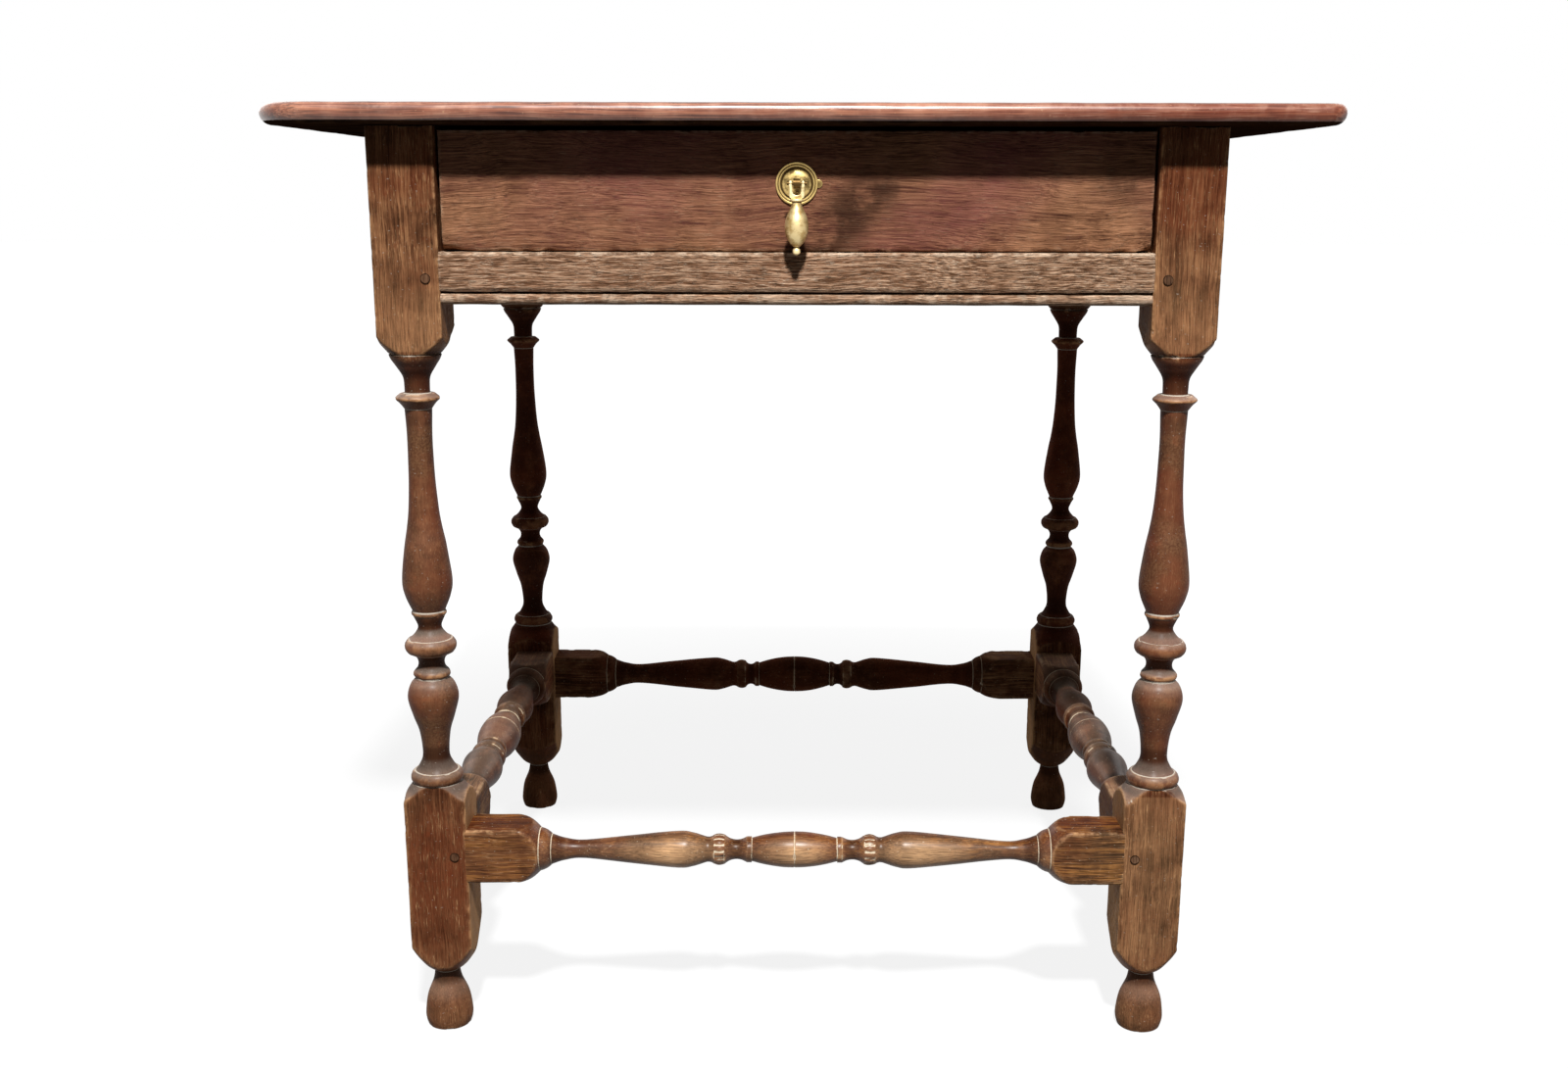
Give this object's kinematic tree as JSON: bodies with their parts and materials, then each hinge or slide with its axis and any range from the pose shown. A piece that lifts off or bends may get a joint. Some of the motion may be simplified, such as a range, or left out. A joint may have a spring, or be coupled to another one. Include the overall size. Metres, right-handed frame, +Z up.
{
  "type": "tavern table",
  "caption": "Turned oak side table with box stretchers, an overhanging plank top and a long frieze drawer with a brass drop pull.",
  "frame": {"origin": "on the floor under the middle of the top", "axes": "+Z up, +X along the length of the top, front and drawer towards -Y"},
  "size_m": [0.756, 0.572, 0.713],
  "materials": {
    "top_oak": "old waxed oak, reddish brown",
    "leg_oak": "old waxed oak, turned, brown with worn arrises",
    "rail_oak": "old waxed oak, open grained, grey brown",
    "drawer_face": "old waxed wood, purplish brown",
    "drawer_inside": "unfinished oak, dusty",
    "peg_oak": "riven oak peg",
    "nail_iron": "dark rusted iron",
    "pull_brass": "worn, tarnished brass"
  },
  "bodies": {
    "frame": {"top_board_front": "top_oak", "top_board_middle": "top_oak", "top_board_rear": "top_oak", "leg_front_left": "leg_oak", "leg_front_right": "leg_oak", "leg_rear_left": "leg_oak", "leg_rear_right": "leg_oak", "front_stretcher": "leg_oak", "rear_stretcher": "leg_oak", "side_stretcher_left": "leg_oak", "side_stretcher_right": "leg_oak", "front_rail": "rail_oak", "back_rail": "rail_oak", "side_rail_left": "rail_oak", "side_rail_right": "rail_oak", "drawer_runner_left": "drawer_inside", "drawer_runner_right": "drawer_inside", "drawer_guide_left": "drawer_inside", "drawer_guide_right": "drawer_inside", "drawer_stops": "drawer_inside", "rail_pegs": "peg_oak", "stretcher_pegs": "peg_oak", "top_pegs": "peg_oak", "frame_nails": "nail_iron"},
    "drawer": {"drawer_front": "drawer_face", "drawer_side_left": "drawer_inside", "drawer_side_right": "drawer_inside", "drawer_back": "drawer_inside", "drawer_bottom_front": "drawer_inside", "drawer_bottom_rear": "drawer_inside", "drawer_nails": "nail_iron", "pull_backplate": "pull_brass", "pull_cotter": "pull_brass"},
    "drop": {"pull_drop": "pull_brass", "pull_pin": "pull_brass"}
  },
  "joints": [
    {"name": "drawer_slide", "type": "slide", "parent": "frame", "child": "drawer", "axis": [0, -1, 0], "range_m": [0, 0.3]},
    {"name": "drop_hinge", "type": "hinge", "parent": "drawer", "child": "drop", "pos_m": [0, -0.27, 0.659], "axis": [-1, 0, 0], "range_deg": [-5, 120]}
  ]
}
